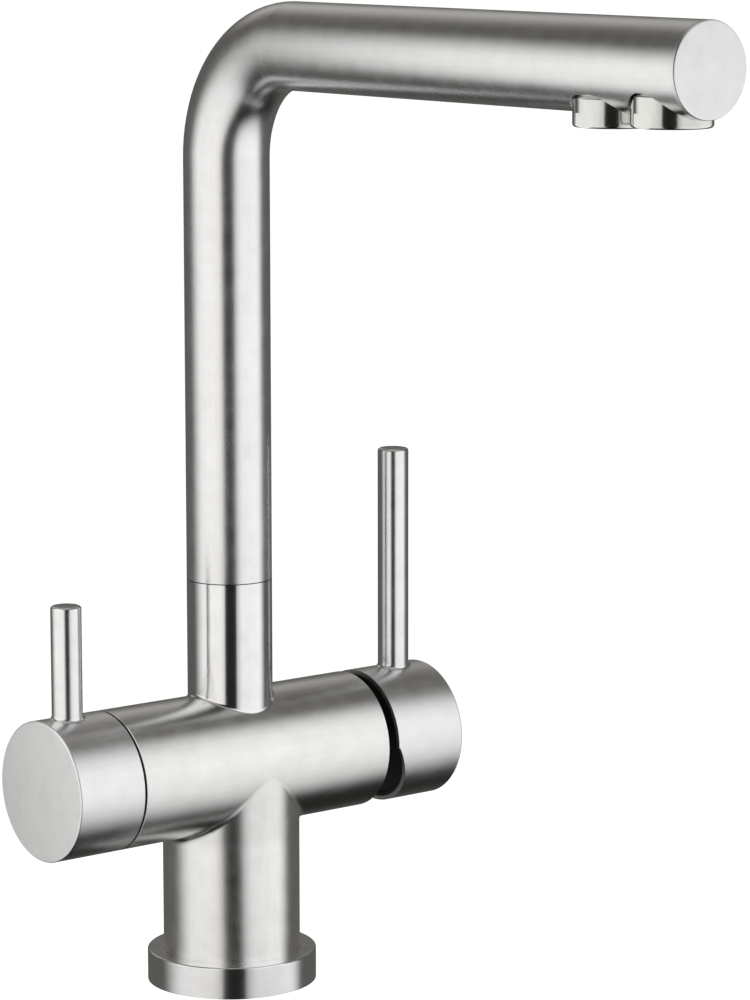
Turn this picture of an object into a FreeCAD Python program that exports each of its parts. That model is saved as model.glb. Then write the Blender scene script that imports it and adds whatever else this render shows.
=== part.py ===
import FreeCAD, Part
import math
import os

# Three-way kitchen mixer tap: hot, cold and filtered water.
# Millimetres. Origin: centre of the base ring's underside on the worktop.
# +Z is up, the spout points towards -Y, the filtered water lever is at -X.

# Sizes seen from outside
TUBE_R = 14.0
TUBE_WALL = 1.5
BODY_R = 22.8
COLUMN_R = BODY_R - 0.15
BASE_RING_WIDTH = 5.35
BASE_RING_R = COLUMN_R + BASE_RING_WIDTH
BASE_RING_HEIGHT = 10.5
BODY_AXIS_Z = 74.1
BODY_LEFT_X = -49.7
BODY_RIGHT_X = 49.2
FILTER_CAP_END_X = -75.2
MIXER_CAP_RIM_X = 53.4
MIXER_CAP_END_X = 80.9
SWIVEL_Z = 135.0
SPOUT_AXIS_Z = 309.5
BEND_R = 37.0
HEAD_SEAM_Y = -172.0
SPOUT_END_Y = -225.1
FILTER_LEVER_X = -64.7
FILTER_LEVER_R = 4.97
FILTER_LEVER_TOP_Z = 133.3
MIXER_LEVER_X = 69.0
MIXER_LEVER_R = 5.2
MIXER_LEVER_TOP_Z = 171.5
MIXED_OUTLET_Y = -185.4
FILTERED_OUTLET_Y = -209.8
COLLAR_R = 11.8
MIXED_COLLAR_DROP = 8.3
FILTERED_COLLAR_DROP = 6.6
MIXED_COLLAR_HEIGHT = 9.3
FILTERED_COLLAR_HEIGHT = 10.0

# Gaps between pieces
MOVING_GAP = 0.3
FILTER_CAP_GAP = 0.85
RUNNING_GAP = 0.05
FIXED_GAP = 0.03
DISC_GAP = 0.1

# How far a cutting tool runs past the face it cuts through
PAST = 1.0

# Blends and broken edges
COLUMN_FILLET = 2.5
NECK_FILLET = 1.0
LEVER_FILLET = 1.2
EDGE_RADIUS = 0.6
RIM_CHAMFER = 0.15

# Body castings' inside
COLUMN_BORE_R = 19.0
COLUMN_FOOT_Z = 3.0
BLOCK_BOTTOM_Z = 46.0
CARTRIDGE_SEAT_X = 15.0
CARTRIDGE_R = 17.5
CARTRIDGE_FRONT_X = 41.0
CARTRIDGE_NUT_LIP = 2.0
CARTRIDGE_NUT_R = CARTRIDGE_R + CARTRIDGE_NUT_LIP
CARTRIDGE_NUT_FRONT_X = 48.5
FILTER_SEAT_X = -24.0
FILTER_BORE_R = 10.45
NECK_BORE_R = 11.0
NECK_FLOOR_Z = BODY_AXIS_Z + BODY_R + 1.1
WATERWAY_R = 3.0
OUTLET_LEVEL = 9.0
INLET_LEVEL = -4.0
MIXED_RISE_X = 8.0
MIXED_RISE_R = 2.5

# Inlets and risers
PORT_R = 5.0
PORT_DEPTH = 8.0
PLUG_HEIGHT = 14.0
RISER_R = 4.0
RISER_BORE_R = 3.0
RISER_SOCKET_DEPTH = 4.0
HOT_PORT = (1.0, -7.5)
COLD_PORT = (1.0, 7.5)
FILTER_PORT = (-11.5, 0.0)

# Fixing kit under the worktop
WORKTOP_THICKNESS = 40.0
STUD_R = 4.0
STUD_X = 13.5
STUD_BOTTOM_Z = -78.0
CLAMP_R = 27.0
PAD_THICKNESS = 4.0
PLATE_THICKNESS = 3.0
SLOT_HALF_WIDTH = 13.5
SLOT_END_X = 7.5
SLOT_CORNER_R = 6.0
NUT_ACROSS_FLATS = 13.0
NUT_HEIGHT = 8.0
NUT_FLANGE_R = 9.0
NUT_FLANGE_HEIGHT = 1.5
GASKET_INSET = 2.0
GASKET_WIDTH = 4.0
GASKET_R = (BASE_RING_R - GASKET_INSET - GASKET_WIDTH, BASE_RING_R - GASKET_INSET)
GASKET_HEIGHT = 2.0

# Lever caps
CAP_WALL = 1.4
LINER_WALL = 1.0
LINER_RECESS = 0.6
MIXER_CAVITY_END_X = 63.0
FILTER_CAVITY_END_X = -60.0
LEVER_SOCKET_DEPTH = 6.8
LEVER_END_RADIUS = 1.0
STEM_R = 5.0
STEM_SOCKET_END_X = 71.0
SPINDLE_R = 4.0
SPINDLE_END_X = -67.0
SCREW_R = 2.0
SCREW_LENGTH = 7.0
SCREW_HEX_R = 1.15
SCREW_HEX_DEPTH = 2.5
MIXER_SCREW_X = 66.5
FILTER_SCREW_X = -63.5

# Relief cut in the mixer cap, as X and the height from the body's axis
RELIEF_START = (53.8, -0.2)
RELIEF_MIDDLE = (58.1, -11.5)
RELIEF_END = (61.0, -24.0)

# Cartridge
PIVOT_X = 38.0
PIVOT_PIN_R = 1.5
PIVOT_PIN_INSET = 4.0
PIVOT_PIN_HALF_LENGTH = CARTRIDGE_R - PIVOT_PIN_INSET
BASE_PLATE_THICKNESS = 3.0
SEAL_THICKNESS = 1.2
SEAL_RING_R = WATERWAY_R * 1.6
HOUSING_WALL = 2.0
HOUSING_BORE_R = CARTRIDGE_R - HOUSING_WALL
HOUSING_LIP_WIDTH = 3.0
HOUSING_LIP_R = HOUSING_BORE_R - HOUSING_LIP_WIDTH
HOUSING_LIP = 1.3
FIXED_DISC_INSET = 1.5
FIXED_DISC_R = HOUSING_BORE_R - FIXED_DISC_INSET
FIXED_DISC_THICKNESS = 3.0
MOVING_DISC_TRAVEL = 4.0
MOVING_DISC_R = HOUSING_BORE_R - MOVING_DISC_TRAVEL
CHAMBER_SHARE = 0.7
MOVING_DISC_THICKNESS = 3.0
DRIVER_INSET = 2.5
DRIVER_R = MOVING_DISC_R - DRIVER_INSET
DRIVER_FRONT_X = 31.0
BALL_X = 30.0
BALL_R = 3.0
BALL_CLEARANCE = 0.4
STEM_NECK_R = 2.5
STEM_SHOULDER_X = 33.5
ROTOR_BACK_X = 31.4
ROTOR_SLOT = (-7.0, 9.5)
CARTRIDGE_NUT_WALL = 8.0
NUT_HOLE_R = CARTRIDGE_NUT_R - CARTRIDGE_NUT_WALL
SHROUD_STEP = 0.5
SHROUD_WALL = 3.5
SHROUD_R = CARTRIDGE_R + SHROUD_STEP
SHROUD_BORE_R = SHROUD_R - SHROUD_WALL
SHROUD_FRONT_X = 51.5
NUT_SLOT_WIDTH = 3.0

# Filtered water valve
VALVE_NECK_R = 8.0
VALVE_NECK_END_X = -55.0
VALVE_WAIST = (-33.0, -28.0)
VALVE_WAIST_R = 8.4
VALVE_BORE_R = 7.5
VALVE_BORE_END_X = -33.6
VALVE_SEAL_THICKNESS = 2.0
VALVE_SEAL_BORE_R = 4.5
VALVE_DISC_THICKNESS = 2.0
SPINDLE_FLANGE_THICKNESS = 2.6
WINDOW_R = 1.5
HALF_MOON_SHARE = 0.75

# Swivel
SPIGOT_R = 10.4
SPIGOT_BORE_R = 8.0
SPIGOT_BOTTOM_Z = 101.0
SPIGOT_TOP_Z = 158.0
BUSH_HEIGHT = 4.0
BUSH_WALL = 0.5
LOWER_BUSH_Z = 103.0
UPPER_BUSH_Z = 127.0
RING_GROOVE_R = 9.2
RING_HEIGHT = 2.4
LOWER_RING_Z = 109.5
UPPER_RING_Z = 122.8
RETAINER_Z = 117.0
RETAINER_GROOVE_R = 8.9
RETAINER_GROOVE_HALF = 2.4
RETAINER_TIP_Y = 9.3
RETAINER_END_Y = 13.0

# Filtered water tube inside the spout
INNER_TUBE_R = 4.0
INNER_TUBE_WALL = 1.0
INNER_SOCKET_Z = NECK_FLOOR_Z - 8.0
INNER_TUBE_BOTTOM_Z = INNER_SOCKET_Z + 1.0
INNER_RING_R = 5.1
INNER_RING_Z = (NECK_FLOOR_Z - 5.0, NECK_FLOOR_Z - 3.0)
INNER_TUBE_END_Y = -199.7

# Outlet head
HEAD_SPIGOT_LENGTH = 8.0
HEAD_CHAMBER_R = 8.3
HEAD_CHAMBER_RISE = 3.2
HEAD_WALL_Y = (-199.4, -196.4)
END_PLATE_THICKNESS = 1.5
SPOT_FACE_GAP = 0.7
THREAD_R = 10.0
THREAD_TO_TUBE_GAP = 0.5
THREAD_LENGTH = MIXED_COLLAR_DROP - INNER_TUBE_R - THREAD_TO_TUBE_GAP
THREAD_RELIEF = 1.2
AERATOR_BORE_R = 8.6
AERATOR_SHELF_THICKNESS = 1.5
AERATOR_SHELF_R = 7.0
COLLAR_EDGE_R = 1.0
COLLAR_TOP_CHAMFER = 1.1
FLAT_HEIGHT = 4.2
FLAT_DEPTH = 0.6
FLAT_HALF_WIDTH = 3.7
INSERT_RECESS = 0.8
INSERT_HEIGHT = 8.0
INSERT_HOLE_R = 0.75
INSERT_ROW_PITCH = 2.6
INSERT_ROWS = 3
INSERT_HOLES_PER_ROW = 6
WASHER_THICKNESS = 0.8
WASHER_WIDTH = 0.5
WASHER_R = THREAD_R + WASHER_WIDTH
OUTLETS = (
    ("mixed", MIXED_OUTLET_Y, SPOUT_AXIS_Z - MIXED_COLLAR_DROP, MIXED_COLLAR_HEIGHT),
    ("filtered", FILTERED_OUTLET_Y, SPOUT_AXIS_Z - FILTERED_COLLAR_DROP, FILTERED_COLLAR_HEIGHT),
)


def vector(x, y, z):
    return FreeCAD.Vector(x, y, z)


def rod(axis, radius, start, end, across=(0.0, 0.0)):
    """Cylinder along an axis letter; across is its place in the other two axes."""
    low = min(start, end)
    length = abs(end - start)
    if axis == "x":
        return Part.makeCylinder(radius, length, vector(low, across[0], across[1]), vector(1, 0, 0))
    if axis == "y":
        return Part.makeCylinder(radius, length, vector(across[0], low, across[1]), vector(0, 1, 0))
    return Part.makeCylinder(radius, length, vector(across[0], across[1], low), vector(0, 0, 1))


def sleeve(axis, outer, inner, start, end, across=(0.0, 0.0)):
    """Round tube along an axis letter."""
    low = min(start, end)
    high = max(start, end)
    return rod(axis, outer, low, high, across).cut(rod(axis, inner, low - PAST, high + PAST, across))


def block(x, y, z):
    """Box from three pairs of limits."""
    return Part.makeBox(x[1] - x[0], y[1] - y[0], z[1] - z[0], vector(x[0], y[0], z[0]))


def cut_all(shape, tools):
    """Take every tool out of a shape."""
    for tool in tools:
        shape = shape.cut(tool)
    return shape


def end_edges(shape, axis, place, radius):
    """Round edges of one radius in the plane at one place along an axis."""
    found = []
    for edge in shape.Edges:
        if not isinstance(edge.Curve, Part.Circle):
            continue
        centre = edge.Curve.Center
        along = {"x": centre.x, "y": centre.y, "z": centre.z}[axis]
        if abs(along - place) < RUNNING_GAP and abs(edge.Curve.Radius - radius) < RUNNING_GAP:
            found.append(edge)
    return found


def save(name, shape):
    """Write one node and stop if it isn't a single sound solid."""
    shape = shape.removeSplitter()
    if len(shape.Solids) != 1 or not shape.isValid():
        raise ValueError(name + " has " + str(len(shape.Solids)) + " solids, valid " + str(shape.isValid()))
    shape.Solids[0].exportStep("parts/" + name + ".step")


def bent_rod(radius, bottom_z, end_y):
    """Rod that follows the spout: up the middle, round the bend, then towards -Y."""
    bend_start = SPOUT_AXIS_Z - BEND_R
    upright = rod("z", radius, bottom_z, bend_start)
    ring = Part.makeCircle(radius, vector(0, 0, bend_start), vector(0, 0, 1))
    disc = Part.Face(Part.Wire(ring))
    bend = disc.revolve(vector(0, -BEND_R, bend_start), vector(1, 0, 0), 90)
    level = rod("y", radius, end_y, -BEND_R, (0, SPOUT_AXIS_Z))
    return upright.fuse([bend, level])


def saddle_edges(shape, low_z, high_z):
    """Curved edges between two heights, where one round tube meets another."""
    found = []
    for edge in shape.Edges:
        box = edge.BoundBox
        curved = min(box.XLength, box.YLength, box.ZLength) > RUNNING_GAP
        if curved and box.ZMin > low_z and box.ZMax < high_z:
            found.append(edge)
    return found


def level_core():
    """Level body before any tube is joined to it."""
    return rod("x", BODY_R, BODY_LEFT_X, BODY_RIGHT_X, (0, BODY_AXIS_Z))


def body_skin():
    """Outside of the column and the level body, with the blend between them."""
    column = rod("z", COLUMN_R, COLUMN_FOOT_Z, BODY_AXIS_Z)
    skin = level_core().fuse(column).removeSplitter()
    seam = saddle_edges(skin, COLUMN_FOOT_Z, BODY_AXIS_Z + PAST)
    skin = skin.makeFillet(COLUMN_FILLET, seam)
    rims = end_edges(skin, "x", BODY_RIGHT_X, BODY_R) + end_edges(skin, "x", BODY_LEFT_X, BODY_R)
    return skin.makeChamfer(RIM_CHAMFER, rims)


def standing_pin(core, radius, top_z, x, fillet):
    """Upright rod on a level cylinder, with a flared foot that follows the cylinder."""
    rod_up = rod("z", radius, BODY_AXIS_Z, top_z, (x, 0))
    joined = core.fuse(rod_up).removeSplitter()
    joined = joined.makeFillet(fillet, saddle_edges(joined, BODY_AXIS_Z, top_z))
    return joined.cut(core)


def riser_bores(port, turn_z):
    """Socket and rising waterway for one riser."""
    socket_top = BLOCK_BOTTOM_Z + RISER_SOCKET_DEPTH
    socket = rod("z", RISER_R + FIXED_GAP, BLOCK_BOTTOM_Z - PAST, socket_top, port)
    return [socket, rod("z", WATERWAY_R, socket_top - PAST, turn_z, port)]


def make_tap_body():
    """Body and neck with their bores, seats and waterways."""
    inlet_z = BODY_AXIS_Z + INLET_LEVEL
    outlet_z = BODY_AXIS_Z + OUTLET_LEVEL
    tools = [
        rod("z", COLUMN_BORE_R, COLUMN_FOOT_Z - PAST, BLOCK_BOTTOM_Z),
        rod("z", NECK_BORE_R, NECK_FLOOR_Z, SWIVEL_Z),
        rod("z", INNER_TUBE_R + RUNNING_GAP, INNER_SOCKET_Z, NECK_FLOOR_Z + PAST),
        rod("z", INNER_RING_R + FIXED_GAP, INNER_RING_Z[0], INNER_RING_Z[1]),
        rod("x", CARTRIDGE_R + RUNNING_GAP, CARTRIDGE_SEAT_X, BODY_RIGHT_X + PAST, (0, BODY_AXIS_Z)),
        rod("x", CARTRIDGE_NUT_R, CARTRIDGE_FRONT_X, BODY_RIGHT_X + PAST, (0, BODY_AXIS_Z)),
        rod("x", FILTER_BORE_R, BODY_LEFT_X - PAST, FILTER_SEAT_X, (0, BODY_AXIS_Z)),
        rod("x", WATERWAY_R, FILTER_SEAT_X - PAST, FILTER_PORT[0], (0, BODY_AXIS_Z)),
        rod("x", MIXED_RISE_R, VALVE_WAIST[0], 0, (0, outlet_z)),
        rod("z", MIXED_RISE_R, outlet_z, INNER_SOCKET_Z + PAST),
        rod("x", MIXED_RISE_R, MIXED_RISE_X, CARTRIDGE_SEAT_X + PAST, (0, outlet_z)),
        rod("z", MIXED_RISE_R, outlet_z, NECK_FLOOR_Z + PAST, (MIXED_RISE_X, 0)),
        rod("y", SCREW_R, NECK_BORE_R - PAST, TUBE_R + PAST, (0, RETAINER_Z)),
    ]
    tools += riser_bores(FILTER_PORT, BODY_AXIS_Z)
    for port in (HOT_PORT, COLD_PORT):
        tools += riser_bores(port, inlet_z)
        tools.append(rod("x", WATERWAY_R, port[0], CARTRIDGE_SEAT_X + PAST, (port[1], inlet_z)))
    save("tap_body", cut_all(body_skin(), tools))
    neck = standing_pin(level_core(), TUBE_R, SWIVEL_Z - MOVING_GAP / 2, 0, NECK_FILLET)
    save("neck", cut_all(neck, tools))


def make_base():
    """Base ring on the worktop, its gasket and the plug with the hose ports."""
    ring = rod("z", BASE_RING_R, 0, BASE_RING_HEIGHT)
    ring = ring.makeFillet(EDGE_RADIUS, end_edges(ring, "z", BASE_RING_HEIGHT, BASE_RING_R))
    ring = cut_all(ring, [
        rod("z", COLUMN_R + RUNNING_GAP, COLUMN_FOOT_Z, BASE_RING_HEIGHT + PAST),
        rod("z", COLUMN_BORE_R, -PAST, COLUMN_FOOT_Z + PAST),
        sleeve("z", GASKET_R[1], GASKET_R[0], -PAST, GASKET_HEIGHT),
    ])
    save("base_ring", ring)
    gasket = sleeve("z", GASKET_R[1] - FIXED_GAP, GASKET_R[0] + FIXED_GAP, 0, GASKET_HEIGHT)
    save("base_gasket", gasket)

    plug_top = COLUMN_FOOT_Z + PLUG_HEIGHT
    port_top = COLUMN_FOOT_Z + PORT_DEPTH
    tools = [rod("z", STUD_R, COLUMN_FOOT_Z - PAST, plug_top - RISER_SOCKET_DEPTH, (STUD_X, 0))]
    for port in (HOT_PORT, COLD_PORT, FILTER_PORT):
        tools.append(rod("z", PORT_R, COLUMN_FOOT_Z - PAST, port_top, port))
        tools.append(rod("z", RISER_BORE_R, port_top - PAST, plug_top, port))
        tools.append(rod("z", RISER_R + FIXED_GAP, plug_top - RISER_SOCKET_DEPTH, plug_top + PAST, port))
    plug = rod("z", COLUMN_BORE_R - RUNNING_GAP, COLUMN_FOOT_Z, plug_top)
    save("base_plug", cut_all(plug, tools))

    riser_bottom = plug_top - RISER_SOCKET_DEPTH
    riser_top = BLOCK_BOTTOM_Z + RISER_SOCKET_DEPTH
    for name, port in (("hot_riser", HOT_PORT), ("cold_riser", COLD_PORT), ("filter_riser", FILTER_PORT)):
        save(name, sleeve("z", RISER_R, RISER_BORE_R, riser_bottom, riser_top, port))


def horseshoe(bottom_z, top_z):
    """Round clamp piece with a slot for the hoses and a hole for the stud."""
    slot = block((-CLAMP_R - SLOT_CORNER_R * 2, SLOT_END_X), (-SLOT_HALF_WIDTH, SLOT_HALF_WIDTH),
                 (bottom_z - PAST, top_z + PAST))
    corners = []
    for edge in slot.Edges:
        if edge.BoundBox.ZLength > top_z - bottom_z:
            corners.append(edge)
    slot = slot.makeFillet(SLOT_CORNER_R, corners)
    hole = rod("z", STUD_R + MOVING_GAP, bottom_z - PAST, top_z + PAST, (STUD_X, 0))
    return rod("z", CLAMP_R, bottom_z, top_z).cut(slot).cut(hole)


def make_fixing_kit():
    """Stud, rubber pad, steel plate and nut that clamp the tap under the worktop."""
    plug_top = COLUMN_FOOT_Z + PLUG_HEIGHT
    pad_bottom = -WORKTOP_THICKNESS - PAD_THICKNESS
    plate_bottom = pad_bottom - PLATE_THICKNESS
    nut_bottom = plate_bottom - NUT_HEIGHT
    stud_top = plug_top - RISER_SOCKET_DEPTH - MOVING_GAP
    save("fixing_stud", rod("z", STUD_R - RUNNING_GAP, STUD_BOTTOM_Z, stud_top, (STUD_X, 0)))
    save("clamp_pad", horseshoe(pad_bottom, -WORKTOP_THICKNESS))
    save("clamp_plate", horseshoe(plate_bottom, pad_bottom))
    corner = NUT_ACROSS_FLATS / 2 / math.cos(math.pi / 6)
    points = []
    for step in range(7):
        angle = step * math.pi / 3
        points.append(vector(STUD_X + corner * math.cos(angle), corner * math.sin(angle), nut_bottom))
    nut = Part.Face(Part.makePolygon(points)).extrude(vector(0, 0, NUT_HEIGHT))
    flange = rod("z", NUT_FLANGE_R, plate_bottom - NUT_FLANGE_HEIGHT, plate_bottom, (STUD_X, 0))
    hole = rod("z", STUD_R, nut_bottom - PAST, plate_bottom + PAST, (STUD_X, 0))
    save("fixing_nut", nut.fuse(flange).cut(hole))


def seal_outline(thickness, grow):
    """Moulded seal: a ring round each waterway, joined by webs."""
    places = ((HOT_PORT[1], INLET_LEVEL), (COLD_PORT[1], INLET_LEVEL), (0.0, OUTLET_LEVEL))
    seat = CARTRIDGE_SEAT_X
    shapes = []
    for place in places:
        centre = (place[0], place[1] + BODY_AXIS_Z)
        shapes.append(rod("x", SEAL_RING_R + grow, seat, seat + thickness, centre))
    web = WATERWAY_R / 2 + grow
    shapes.append(block((seat, seat + thickness), (HOT_PORT[1], COLD_PORT[1]),
                        (BODY_AXIS_Z + INLET_LEVEL - web, BODY_AXIS_Z + INLET_LEVEL + web)))
    shapes.append(block((seat, seat + thickness), (-web, web),
                        (BODY_AXIS_Z + INLET_LEVEL, BODY_AXIS_Z + OUTLET_LEVEL)))
    return shapes[0].fuse(shapes[1:])


def cartridge_waterways(start, end):
    """The three waterways through the fixed pieces of the cartridge."""
    inlet_z = BODY_AXIS_Z + INLET_LEVEL
    return [
        rod("x", WATERWAY_R, start, end, (HOT_PORT[1], inlet_z)),
        rod("x", WATERWAY_R, start, end, (COLD_PORT[1], inlet_z)),
        rod("x", WATERWAY_R, start, end, (0, BODY_AXIS_Z + OUTLET_LEVEL)),
    ]


def make_cartridge_fixed():
    """Pieces of the cartridge that stay still in the body."""
    seat = CARTRIDGE_SEAT_X
    plate_front = seat + BASE_PLATE_THICKNESS
    centre = (0, BODY_AXIS_Z)
    ways = cartridge_waterways(seat - PAST, plate_front + FIXED_DISC_THICKNESS + PAST)
    save("cartridge_seal", cut_all(seal_outline(SEAL_THICKNESS, 0), ways))
    plate = rod("x", CARTRIDGE_R, seat, plate_front, centre)
    save("cartridge_base", cut_all(plate, [seal_outline(SEAL_THICKNESS, FIXED_GAP)] + ways))
    disc = rod("x", FIXED_DISC_R, plate_front, plate_front + FIXED_DISC_THICKNESS, centre)
    save("fixed_disc", cut_all(disc, ways))
    housing = rod("x", CARTRIDGE_R, plate_front, CARTRIDGE_FRONT_X, centre)
    housing = cut_all(housing, [
        rod("x", HOUSING_BORE_R, plate_front - PAST, CARTRIDGE_FRONT_X - HOUSING_LIP, centre),
        rod("x", HOUSING_LIP_R, plate_front, CARTRIDGE_FRONT_X + PAST, centre),
    ])
    save("cartridge_housing", housing)

    nut_r = CARTRIDGE_NUT_R - RUNNING_GAP
    nut = sleeve("x", nut_r, NUT_HOLE_R, CARTRIDGE_FRONT_X, CARTRIDGE_NUT_FRONT_X, centre)
    slot_x = (CARTRIDGE_NUT_FRONT_X - NUT_SLOT_WIDTH, CARTRIDGE_NUT_FRONT_X + PAST)
    slot_across = (-NUT_SLOT_WIDTH / 2, NUT_SLOT_WIDTH / 2)
    wide = (-BODY_R, BODY_R)
    level_slot = block(slot_x, wide, (BODY_AXIS_Z + slot_across[0], BODY_AXIS_Z + slot_across[1]))
    upright_slot = block(slot_x, slot_across, (BODY_AXIS_Z - BODY_R, BODY_AXIS_Z + BODY_R))
    save("cartridge_nut", cut_all(nut, [level_slot, upright_slot]))
    shroud = sleeve("x", SHROUD_R, SHROUD_BORE_R, CARTRIDGE_NUT_FRONT_X, SHROUD_FRONT_X, centre)
    save("mixer_shroud", shroud)


def make_cartridge_moving():
    """Rotor and pin that turn for temperature, and the disc that slides for flow."""
    centre = (0, BODY_AXIS_Z)
    rotor_front = CARTRIDGE_FRONT_X - HOUSING_LIP - MOVING_GAP
    rotor = rod("x", HOUSING_BORE_R - RUNNING_GAP, ROTOR_BACK_X, rotor_front, centre)
    slot_half = STEM_R + MOVING_GAP
    slot = block((ROTOR_BACK_X - PAST, rotor_front + PAST), (-slot_half, slot_half),
                 (BODY_AXIS_Z + ROTOR_SLOT[0], BODY_AXIS_Z + ROTOR_SLOT[1]))
    pin_hole = rod("y", PIVOT_PIN_R + FIXED_GAP, -CARTRIDGE_R, CARTRIDGE_R, (PIVOT_X, BODY_AXIS_Z))
    save("cartridge_rotor", rotor.cut(slot).cut(pin_hole))
    pin = rod("y", PIVOT_PIN_R, -PIVOT_PIN_HALF_LENGTH, PIVOT_PIN_HALF_LENGTH, (PIVOT_X, BODY_AXIS_Z))
    save("pivot_pin", pin)

    disc_back = CARTRIDGE_SEAT_X + BASE_PLATE_THICKNESS + FIXED_DISC_THICKNESS + DISC_GAP
    disc_front = disc_back + MOVING_DISC_THICKNESS
    disc = rod("x", MOVING_DISC_R, disc_back, disc_front, centre)
    chamber_front = disc_back + MOVING_DISC_THICKNESS / 2
    chamber = rod("x", MOVING_DISC_R * CHAMBER_SHARE, disc_back - PAST, chamber_front, centre)
    save("moving_disc", disc.cut(chamber))
    driver = rod("x", DRIVER_R, disc_front, DRIVER_FRONT_X, centre)
    recess_r = BALL_R + BALL_CLEARANCE
    recess = rod("x", recess_r, BALL_X - recess_r, DRIVER_FRONT_X + PAST, centre)
    save("disc_driver", driver.cut(recess))


def grub_screw(start_y, end_y, x, z):
    """Headless screw along Y with a hexagon-wide round socket facing +Y."""
    screw = rod("y", SCREW_R - RUNNING_GAP, start_y, end_y, (x, z))
    return screw.cut(rod("y", SCREW_HEX_R, end_y - SCREW_HEX_DEPTH, end_y + PAST, (x, z)))


def lever(x, radius, top_z, name, cap_x):
    """Straight round lever, flared where it stands on the cap, with its foot in the cap."""
    core = rod("x", BODY_R, cap_x[0], cap_x[1], (0, BODY_AXIS_Z))
    pin = standing_pin(core, radius, top_z, x, LEVER_FILLET)
    foot_z = BODY_AXIS_Z + BODY_R - LEVER_SOCKET_DEPTH
    pin = pin.fuse(rod("z", radius, foot_z, top_z - radius, (x, 0))).removeSplitter()
    save(name, pin.makeFillet(LEVER_END_RADIUS, end_edges(pin, "z", top_z, radius)))


def lever_socket(x, radius):
    """Hole in the cap for the lever's foot."""
    foot = BODY_AXIS_Z + BODY_R - LEVER_SOCKET_DEPTH
    return rod("z", radius + FIXED_GAP, foot, BODY_AXIS_Z + BODY_R + PAST, (x, 0))


def relief_tool(recess=0.0):
    """Prism that cuts back the mixer cap's lower edge so the cap can tilt."""
    half_width = BODY_R + PAST
    corners = []
    for point in (RELIEF_START, RELIEF_MIDDLE, RELIEF_END):
        corners.append(vector(point[0] + recess, -half_width, BODY_AXIS_Z + point[1] + recess))
    left_low = vector(MIXER_CAP_RIM_X - PAST, -half_width, corners[2].z)
    left_high = vector(MIXER_CAP_RIM_X - PAST, -half_width, corners[0].z)
    wire = Part.Wire([
        Part.Arc(corners[0], corners[1], corners[2]).toShape(),
        Part.makeLine(corners[2], left_low),
        Part.makeLine(left_low, left_high),
        Part.makeLine(left_high, corners[0]),
    ])
    return Part.Face(wire).extrude(vector(0, half_width * 2, 0))


def make_cap_liner(centre):
    """Black cup that lines the mixer cap's hollow."""
    liner_r = BODY_R - CAP_WALL - FIXED_GAP
    start_x = MIXER_CAP_RIM_X + LINER_RECESS
    liner = cut_all(rod("x", liner_r, start_x, MIXER_CAVITY_END_X, centre), [
        rod("x", liner_r - LINER_WALL, start_x - PAST, MIXER_CAVITY_END_X - LINER_WALL, centre),
        rod("x", STEM_R + FIXED_GAP, start_x, MIXER_CAVITY_END_X + PAST, centre),
        relief_tool(LINER_RECESS),
    ])
    save("mixer_cap_liner", liner)


def make_mixer_handle():
    """Long lever, its cap and the stem that reaches into the cartridge."""
    centre = (0, BODY_AXIS_Z)
    cap = rod("x", BODY_R, MIXER_CAP_RIM_X, MIXER_CAP_END_X, centre)
    cap = cap.makeFillet(EDGE_RADIUS, end_edges(cap, "x", MIXER_CAP_END_X, BODY_R))
    cap = cut_all(cap, [
        rod("x", BODY_R - CAP_WALL, MIXER_CAP_RIM_X - PAST, MIXER_CAVITY_END_X, centre),
        rod("x", STEM_R + FIXED_GAP, MIXER_CAVITY_END_X - PAST, STEM_SOCKET_END_X, centre),
        rod("y", SCREW_R, 0, BODY_R + PAST, (MIXER_SCREW_X, BODY_AXIS_Z)),
        lever_socket(MIXER_LEVER_X, MIXER_LEVER_R),
        relief_tool(),
    ])
    save("mixer_cap", cap)
    make_cap_liner(centre)
    lever(MIXER_LEVER_X, MIXER_LEVER_R, MIXER_LEVER_TOP_Z, "mixer_lever", (MIXER_CAP_RIM_X, MIXER_CAP_END_X))

    stem = rod("x", STEM_R, STEM_SHOULDER_X, STEM_SOCKET_END_X, centre)
    neck = rod("x", STEM_NECK_R, BALL_X, STEM_SHOULDER_X + PAST, centre)
    ball = Part.makeSphere(BALL_R, vector(BALL_X, 0, BODY_AXIS_Z))
    pin_hole = rod("y", PIVOT_PIN_R + RUNNING_GAP, -CARTRIDGE_R, CARTRIDGE_R, (PIVOT_X, BODY_AXIS_Z))
    save("mixer_stem", stem.fuse([neck, ball]).cut(pin_hole))
    save("mixer_grub_screw", grub_screw(STEM_R, STEM_R + SCREW_LENGTH, MIXER_SCREW_X, BODY_AXIS_Z))


def half_moon(radius, thickness, back_x):
    """Ceramic disc with a half-moon opening."""
    disc = rod("x", radius, back_x, back_x + thickness, (0, BODY_AXIS_Z))
    hole = rod("x", radius * HALF_MOON_SHARE, back_x - PAST, back_x + thickness + PAST, (0, BODY_AXIS_Z))
    lower = block((back_x - PAST, back_x + thickness + PAST), (-radius, radius),
                  (BODY_AXIS_Z - radius, BODY_AXIS_Z - FLAT_DEPTH))
    return disc.cut(hole.common(lower))


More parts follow.
